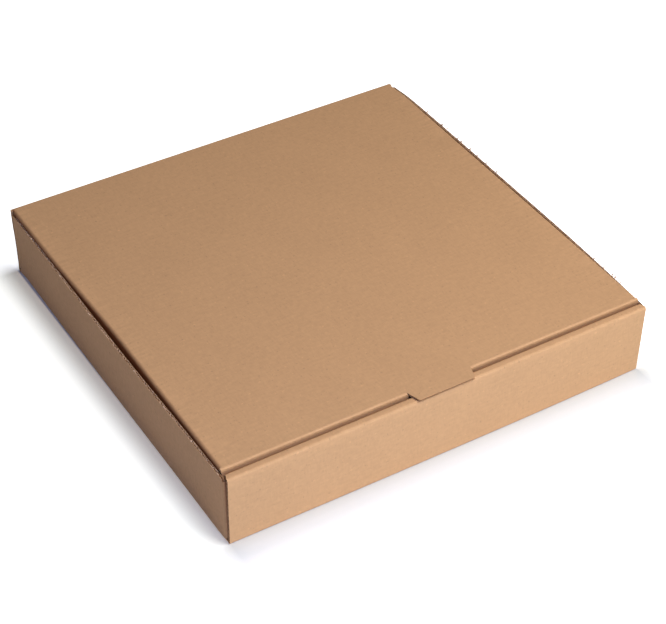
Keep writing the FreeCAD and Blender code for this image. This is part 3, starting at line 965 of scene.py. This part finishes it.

# %% [markdown]
# ### Group 4: shaded fold
# Inside a tight fold, where two boards nearly touch, little light gets in, and it bounces only
# from brown to brown. The group paints that shade into the paper's colour, in a band of the flat
# sheet. `Along` is the direction that the band is measured in, and `Across` with `Limit` says
# where it may lie.

# %% Shaded fold group
def build_fold_shade():
    tree, given, made = paper_group(
        "fold_shade",
        [
            ("Along", VECTOR, (1, 0, 0)),
            ("Start", FLOAT, 0.0),
            ("Full", FLOAT, 0.1),
            ("Fade", FLOAT, 0.2),
            ("End", FLOAT, 0.3),
            ("Across", VECTOR, (0, 0, 0)),
            ("Limit", FLOAT, -1.0),
            ("Only Bent", FLOAT, 0.0),
            ("Tint", COLOR, (0.5, 0.4, 0.3, 1)),
        ],
        [("Mask", FLOAT)],
    )
    along = vectors(tree, "DOT_PRODUCT", {0: given["Vector"], 1: given["Along"]})["Value"]
    across = vectors(tree, "DOT_PRODUCT", {0: given["Vector"], 1: given["Across"]})["Value"]
    rise = remap(tree, along, given["Start"], given["Full"])
    fall = maths(tree, "SUBTRACT", 1.0, remap(tree, along, given["Fade"], given["End"]))
    inside = maths(tree, "GREATER_THAN", across, given["Limit"])
    anywhere = maths(tree, "SUBTRACT", 1.0, given["Only Bent"])
    where = maths(tree, "MAXIMUM", attribute(tree, "bent")["Fac"], anywhere)
    band, place = maths(tree, "MULTIPLY", rise, fall), maths(tree, "MULTIPLY", inside, where)
    mask = maths(tree, "MULTIPLY", band, place)
    # The mask is where shade is painted, and the tint darkens the paper there.
    tint = mixed(tree, mask, WHITE, given["Tint"])
    tree.links.new(vectors(tree, "MULTIPLY", {0: given["Paper"], 1: tint})[0], made["Color"])
    tree.links.new(mask, made["Mask"])
    return tree


FOLD_SHADE = build_fold_shade()
print("shaded fold:", len(FOLD_SHADE.nodes), "nodes")

# %% [markdown]
# ### The papers
# Five papers share the groups: the outer liner of the tray and that of the lid, which differ in
# the painted shade of their folds, the inner liner, which shows the flutes more, the darker and
# rougher medium, and the pale pulp that stands out of the cut edges.

# %% Paper materials
RELIEF, RELIEF_HEIGHT = 0.25, 0.05
GLOSS = 0.25


def paper(name, color, fibres, specks, clouds, shade=0.0, wear_and_highlight=0.0, folds=()):
    material = bpy.data.materials.new(name)
    material.use_nodes = True
    tree = material.node_tree
    sheet = attribute(tree, "sheet")["Vector"]

    def use(group, values):
        return add(tree, "ShaderNodeGroup", {"Vector": sheet, **values}, node_tree=group).outputs

    strengths = {"Fibres": fibres, "Specks": specks, "Clouds": clouds}
    pulp = use(PULP, {"Paper": (*color, 1), **strengths})
    board = use(WASHBOARD, {"Paper": pulp["Color"], "Shade": shade})
    # Paler creases: partly worn fibres, partly a painted highlight.
    painted = use(CREASE_WEAR_AND_HIGHLIGHT, {"Paper": board["Color"], "Wear And Highlight": wear_and_highlight})
    # Bands of painted shade in folds and gaps.
    for fold in folds:
        painted = use(FOLD_SHADE, {"Paper": painted["Color"], **fold})
    height = maths(tree, "MULTIPLY_ADD", board["Height"], 0.5, pulp["Height"])
    values = {"Strength": RELIEF, "Distance": RELIEF_HEIGHT * MM, "Height": height}
    relief = add(tree, "ShaderNodeBump", values)
    shader = tree.nodes["Principled BSDF"].inputs
    shader["Specular IOR Level"].default_value = GLOSS
    tree.links.new(painted["Color"], shader["Base Color"])
    tree.links.new(pulp["Roughness"], shader["Roughness"])
    tree.links.new(relief.outputs[0], shader["Normal"])
    return material


def fold(along, edge, stops, tint, more):
    """A band of painted shade; its stops are distances past an edge, in millimetres."""
    places = {name: (edge + s) * MM for name, s in zip(("Start", "Full", "Fade", "End"), stops)}
    return {"Along": along, "Tint": (*tint, 1), **places, **more}


FORWARD = (0, -1, 0)
# Painted shade on the left wall's front ear, in its fold beside the front panel.
EAR_PLACE = {"Across": (-1, 0, 0), "Limit": (WIDTH / 2 + 0.4) * MM}
EAR_FOLD_SHADE = fold(FORWARD, EAR_LINE, (-0.3, 1.4, 1000, 2000), (0.30, 0.22, 0.17), EAR_PLACE)
# Painted shade on the lid's left dust flap, down in the dark gap between the lid and the left wall.
GAP_PLACE = {"Across": (0, 1, 0), "Limit": (LID_FRONT + 1.0) * MM}
LEFT_GAP_SHADE = fold((-1, 0, 0), PANEL_HALF, (-0.3, 2.0, 7, 15), (0.34, 0.19, 0.10), GAP_PLACE)
# Painted shade on the lower part of the lid's front crease, where the tuck flap turns down into the gap
# behind the front wall.
CREASE_SHADE_STOPS, CREASE_SHADE_TINT = (0.75, 1.15, 2.2, 4.5), (0.70, 0.67, 0.64)
FRONT_CREASE_SHADE = fold(FORWARD, -LID_FRONT, CREASE_SHADE_STOPS, CREASE_SHADE_TINT, {"Only Bent": 1.0})
KRAFT = (0.60, 0.344, 0.172)
LID_FOLD_SHADES = [LEFT_GAP_SHADE, FRONT_CREASE_SHADE]
OUTER_PAPER = paper("kraft_outside", KRAFT, 0.16, 0.16, 0.10, 0.006, 0.07, [EAR_FOLD_SHADE])
LID_PAPER = paper("kraft_lid", KRAFT, 0.16, 0.16, 0.10, 0.006, 0.07, LID_FOLD_SHADES)
INNER_PAPER = paper("kraft_inside", (0.56, 0.320, 0.160), 0.20, 0.20, 0.12, 0.020, 0.04)
FLUTE_PAPER = paper("kraft_flutes", (0.34, 0.165, 0.070), 0.25, 0.25, 0.15)
FIBRE_PAPER = paper("kraft_fibres", (0.66, 0.45, 0.30), 0.25, 0.30, 0.15)

for item, material in (
    (tray_outside, OUTER_PAPER),
    (lid_outside, LID_PAPER),
    (tray_inside, INNER_PAPER),
    (lid_inside, INNER_PAPER),
):
    item.data.materials.append(material)
print("papers:", [m.name for m in bpy.data.materials if m.name.startswith("kraft")])

# %% [markdown]
# ## Corrugate the tray and the lid
# A sheet at the middle of the board, with eight rows to a wave, goes through the tree. Its input
# values are set by the sockets' identifiers, and the result becomes a plain mesh.

# %% Build the mediums
WAVE_HEIGHT = BOARD - 2 * LINER - MEDIUM - 0.06
MEDIUM_GRID = (FLUTE_PITCH / 8, 12.0, FLUTE_PITCH / 8, 2)


def medium(name, lay):
    panels = Panels(BOARD / 2)
    lay(panels, *MEDIUM_GRID)
    sizes = {"Pitch": FLUTE_PITCH, "Wave Height": WAVE_HEIGHT, "Paper Thickness": MEDIUM}
    values = {label: size * MM for label, size in sizes.items()}
    item = link(name, sheet_mesh(name, panels, rough=0.0))
    return grow(item, FLUTE_TREE, {**values, "Material": FLUTE_PAPER})


tray_flutes = medium("tray_flutes", lay_tray)
lid_flutes = medium("lid_flutes", lay_lid)

# %% [markdown]
# ## The lid's crease
# Board that is bent at a crease is crushed solid, so the crease on the rear wall is one closed
# strip.

# %% Build the hinge crease
CREASE_ROWS, CREASE_COLUMNS = 14, 90
CREASE_ROUGH = 0.02 * MM

crease_panels = Panels(0.0)
crease_length = bend_length(90, LID_BEND)
crease_rows = steps(0, crease_length, crease_length / CREASE_ROWS)
crease_panels.grid(on_hinge, -REAR_HALF, REAR_HALF, crease_rows, share_list(CREASE_COLUMNS))
crease = link("hinge_crease", sheet_mesh("hinge_crease", crease_panels, rough=CREASE_ROUGH))
thicken(crease, BOARD)
crease.data.materials.append(OUTER_PAPER)

# %% [markdown]
# ## Torn fibres on the raw edges, with Geometry Nodes
# The cutting rule crushes the side walls' top edges, and pulp stands out of them in small lumps,
# with a larger torn burr here and there. A mesh of bare points marks their places, with a size on
# each point. The tree puts a rough lump on every point, turned and stretched at random.

# %% The fibre tree
THINNEST, FIBRE_SEED = 0.35, 7


def random_vector(tree, seed, offset, low, high):
    values = {0: low, 1: high, "Seed": maths(tree, "ADD", seed, offset)}
    return add(tree, "FunctionNodeRandomValue", values, data_type="FLOAT_VECTOR").outputs[0]


def build_fibre_tree():
    tree, given, made = geometry_tree(
        "torn_fibres", [("Thinnest", FLOAT, THINNEST), ("Seed", WHOLE, FIBRE_SEED)]
    )
    lump = add(tree, "GeometryNodeMeshIcoSphere", {"Radius": 0.5, "Subdivisions": 1})
    uneven = random_vector(tree, given["Seed"], 0, given["Thinnest"], (1.0, 1.0, 1.0))
    spread = {
        "Points": given["Geometry"],
        "Instance": lump.outputs["Mesh"],
        "Rotation": random_vector(tree, given["Seed"], 1, (0, 0, 0), (3, 3, 6)),
        "Scale": vectors(tree, "SCALE", {0: uneven, "Scale": named(tree, "size", "FLOAT")})[0],
    }
    lumps = add(tree, "GeometryNodeInstanceOnPoints", spread).outputs[0]
    real = add(tree, "GeometryNodeRealizeInstances", {0: lumps}).outputs[0]
    place = add(tree, "GeometryNodeInputPosition").outputs[0]
    kept = add(tree, "GeometryNodeStoreNamedAttribute", data_type="FLOAT_VECTOR")
    kept.inputs["Name"].default_value = "sheet"
    tree.links.new(real, kept.inputs["Geometry"])
    tree.links.new(place, kept.inputs["Value"])
    paint = {"Geometry": kept.outputs[0], "Material": given["Material"]}
    tree.links.new(add(tree, "GeometryNodeSetMaterial", paint).outputs[0], made[0])
    return tree


FIBRE_TREE = build_fibre_tree()
print("fibre tree:", len(FIBRE_TREE.nodes), "nodes")

# %% [markdown]
# ### Where the pulp stands
# Small lumps follow both edges closely, a fraction of a millimetre apart. Each larger burr, listed
# by its place from front to rear, is three lumps that lean outward and upward.

# %% Spread the fibres
RIGHT_BURRS = [109, 89, 83, 69, 64, 53, 44, 33, 20.5, -94, -105, -114.5, -117.6, -123]
LEFT_BURRS = [118, 71, 26, -38, -77, -112]
FIBRE_REACH = 145.0
EDGE_INSET = 0.15
LUMP_SIZE, LUMP_STEP, LUMP_RISE = (0.5, 0.95), (0.25, 0.5), (-0.15, 0.08)
LUMPS_A_BURR = 3
BURR_SIZE, BURR_SHIFT, BURR_DEPTH = (1.2, 1.6), (-0.5, 0.5), (0.0, 0.6)
BURR_OUT, BURR_UP, BURR_START = 0.25, 0.45, 0.2


def fibre_points():
    rng = random.Random(31)
    places, sizes = [], []
    for side, burrs in ((-1, LEFT_BURRS), (1, RIGHT_BURRS)):
        place = on_side(side)
        y = -FIBRE_REACH
        while y < FIBRE_REACH:
            point = place(y, WALL_END, rng.uniform(EDGE_INSET, BOARD - EDGE_INSET))[0]
            places.append(point + Vector((0, 0, rng.uniform(*LUMP_RISE) * MM)))
            sizes.append(rng.uniform(*LUMP_SIZE) * MM)
            y += rng.uniform(*LUMP_STEP)
        for y in burrs:
            for part in range(LUMPS_A_BURR):
                here = y + rng.uniform(*BURR_SHIFT)
                point = place(here, WALL_END, rng.uniform(*BURR_DEPTH))[0]
                leaning = Vector((side * BURR_OUT * part, 0, BURR_START + BURR_UP * part))
                places.append(point + leaning * MM)
                sizes.append(rng.uniform(*BURR_SIZE) * MM)
    return places, sizes


places, sizes = fibre_points()
points_mesh = bpy.data.meshes.new("tray_fibres")
points_mesh.from_pydata(places, [], [])
points_mesh.attributes.new("size", "FLOAT", "POINT").data.foreach_set("value", sizes)
fibre_values = {"Thinnest": THINNEST, "Seed": FIBRE_SEED, "Material": FIBRE_PAPER}
fibres = grow(link("tray_fibres", points_mesh), FIBRE_TREE, fibre_values)
print(len(places), "lumps of pulp")

# %% [markdown]
# ## Join the pieces to the frame
# Each paper rides on the body that it belongs to, and stands for that body's plain solid.

# %% Ride and replace
for item in (tray_outside, tray_inside, tray_flutes, fibres):
    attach(item, "tray")
    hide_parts("tray")
for item in (lid_outside, lid_inside, lid_flutes):
    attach(item, "lid")
    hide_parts("lid")
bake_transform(crease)

# %% [markdown]
# ## Floor, light and camera
# The box stands on a white floor. The key lamp hangs to the front right, and lights the top and the
# front. A fill stands low in front, and a cool one to the front left, which lights the left side
# softly. To the camera only, the floor glows more the further it is from the box, so that the
# shadow fades to white as it does in a studio. In front of the box, the floor's colour is painted
# darker close to its foot, a painted shadow that only the camera sees.

# %% Floor and world
BOX_HALF = (WIDTH / 2 * MM, DEPTH / 2 * MM, 0.0)
FLOOR_REACH = 6.0
FLOOR_WHITE = (0.86, 0.86, 0.86, 1)
GLOW_REACH = 60.0
GLOW_BESIDE = [
    (0, (0, 0, 0)),
    (0.8, (0.26, 0.22, 0.155)),
    (4, (0.267, 0.25, 0.186)),
    (8, (0.415, 0.402, 0.323)),
    (12, (0.563, 0.56, 0.485)),
    (16, (0.71, 0.71, 0.63)),
    (20, (0.78, 0.78, 0.71)),
    (24, (0.80, 0.80, 0.76)),
    (40, (1, 1, 1)),
]
GLOW_BEFORE = [(0, [0] * 3), (6, [0] * 3), (14, [0.08] * 3), (24, [0.3] * 3), (60, [1] * 3)]
GLOW_BEHIND = [(0, [0] * 3), (1, [0.3] * 3), (6, [0.8] * 3), (12, [1] * 3)]
# Painted shadow in front of the box: the floor's colour by distance from the front foot.
PAINTED_SHADOW_BEFORE = [
    (1.5, (0.68, 0.70, 0.68)),
    (5, (0.745, 0.775, 0.76)),
    (9, (0.80, 0.825, 0.82)),
    (14, (0.835, 0.86, 0.86)),
    (20, (0.86, 0.86, 0.86)),
]


def seen_directly(tree):
    """1 for the rays that show a thing to the camera, 0 for those that light the box."""
    path = add(tree, "ShaderNodeLightPath").outputs
    seen = maths(tree, "MAXIMUM", path["Is Camera Ray"], path["Is Glossy Ray"])
    return maths(tree, "MAXIMUM", seen, path["Is Transmission Ray"])


def by_distance(tree, distance, stops):
    """Colour that follows the distance from the box, with stops in millimetres."""
    share = remap(tree, distance, 0.0, GLOW_REACH * MM)
    node = add(tree, "ShaderNodeValToRGB", {"Fac": share})
    points = node.color_ramp.elements
    while len(points) < len(stops):
        points.new(0.5)
    for point, (where, color) in zip(points, stops):
        point.position = where / GLOW_REACH
        point.color = (*color, 1)
    return node.outputs["Color"]


def floor_material():
    material = bpy.data.materials.new("studio_floor")
    material.use_nodes = True
    tree = material.node_tree
    tree.nodes.clear()
    seen = seen_directly(tree)
    origin = add(tree, "ShaderNodeTexCoord").outputs["Object"]
    away = vectors(tree, "ABSOLUTE", {0: origin})[0]
    away = vectors(tree, "SUBTRACT", {0: away, 1: BOX_HALF})[0]
    away = vectors(tree, "MAXIMUM", {0: away, 1: (0, 0, 0)})[0]
    distance = vectors(tree, "LENGTH", {0: away})["Value"]
    split = add(tree, "ShaderNodeSeparateXYZ", {0: away}).outputs
    sideways = maths(tree, "DIVIDE", split["X"], maths(tree, "ADD", split["X"], split["Y"]))
    depth = add(tree, "ShaderNodeSeparateXYZ", {0: origin}).outputs["Y"]
    behind = maths(tree, "GREATER_THAN", depth, 0.0)
    before, after, beside, painted_shadow_before = (
        by_distance(tree, distance, stops)
        for stops in (GLOW_BEFORE, GLOW_BEHIND, GLOW_BESIDE, PAINTED_SHADOW_BEFORE)
    )
    glow = mixed(tree, sideways, mixed(tree, behind, before, after), beside)
    lengthways, ahead = (maths(tree, "SUBTRACT", 1.0, share) for share in (sideways, behind))
    shaded = maths(tree, "MULTIPLY", maths(tree, "MULTIPLY", lengthways, ahead), seen)
    # Towards the front foot the camera sees the floor painted darker: a painted shadow.
    colour_with_painted_shadow = mixed(tree, shaded, FLOOR_WHITE, painted_shadow_before)
    matt = add(tree, "ShaderNodeBsdfDiffuse", {"Color": colour_with_painted_shadow}).outputs[0]
    lift = add(tree, "ShaderNodeEmission", {"Color": glow, "Strength": seen}).outputs[0]
    both = add(tree, "ShaderNodeAddShader", {0: matt, 1: lift}).outputs[0]
    add(tree, "ShaderNodeOutputMaterial", {"Surface": both})
    return material


floor_mesh = bpy.data.meshes.new("floor")
corners = [(x * FLOOR_REACH, y * FLOOR_REACH, 0) for x, y in ((-1, -1), (1, -1), (1, 1), (-1, 1))]
floor_mesh.from_pydata(corners, [], [(0, 1, 2, 3)])
floor = link("floor", floor_mesh)
floor.data.materials.append(floor_material())

world = bpy.data.worlds.new("studio")
bpy.context.scene.world = world
world.use_nodes = True
sky = world.node_tree
sky.nodes.clear()
ambient = add(sky, "ShaderNodeBackground", {"Color": (0.94, 0.98, 1.0, 1), "Strength": 0.02})
white = add(sky, "ShaderNodeBackground", {"Color": WHITE, "Strength": 1.0})
backdrop = {0: seen_directly(sky), 1: ambient.outputs[0], 2: white.outputs[0]}
choose = add(sky, "ShaderNodeMixShader", backdrop)
add(sky, "ShaderNodeOutputWorld", {"Surface": choose.outputs[0]})
print("floor and world are white to the camera")

# %% [markdown]
# ### Lamps
# Three square lamps look at the middle of the box. A large lamp gives soft shadows. Each has its
# place, its size in metres, its power in watts and its colour.

# %% Lamps
BOX_MIDDLE = (0, 0, 0.03)


def soft_lamp(name, where, size, power, color):
    lamp = bpy.data.lights.new(name, "AREA")
    lamp.shape = "SQUARE"
    lamp.size = size
    lamp.energy = power
    lamp.color = color
    item = link(name, lamp)
    item.location = where
    towards = Vector(BOX_MIDDLE) - Vector(where)
    item.rotation_euler = towards.to_track_quat("-Z", "Y").to_euler()


soft_lamp("key", (0.35, -0.55, 1.10), 0.6, 11.5, (1.0, 0.96, 0.90))
soft_lamp("front_fill", (0.20, -1.30, 0.35), 0.6, 3.7, (0.82, 1.0, 0.88))
soft_lamp("cool_fill", (-0.40, -1.00, 0.70), 0.8, 8.0, (0.52, 0.60, 1.0))

# %% [markdown]
# ## Camera
# The photograph's vertical lines lean together only a little, so it was taken from some way off
# with a long lens. The angles and the place were worked out from the box's own right angles.

# %% Camera
camera_data = bpy.data.cameras.new("camera")
camera_data.sensor_width = 36
camera_data.lens = 105.15
camera = link("camera", camera_data)
camera.location = (-0.52044, -0.87160, 0.84131)
camera.rotation_euler = [math.radians(a) for a in (50.5404, -0.1712, -31.2595)]
bpy.context.scene.camera = camera
bpy.context.scene.view_settings.view_transform = "Standard"
print("camera is", round(camera.location.length, 2), "m from the box")
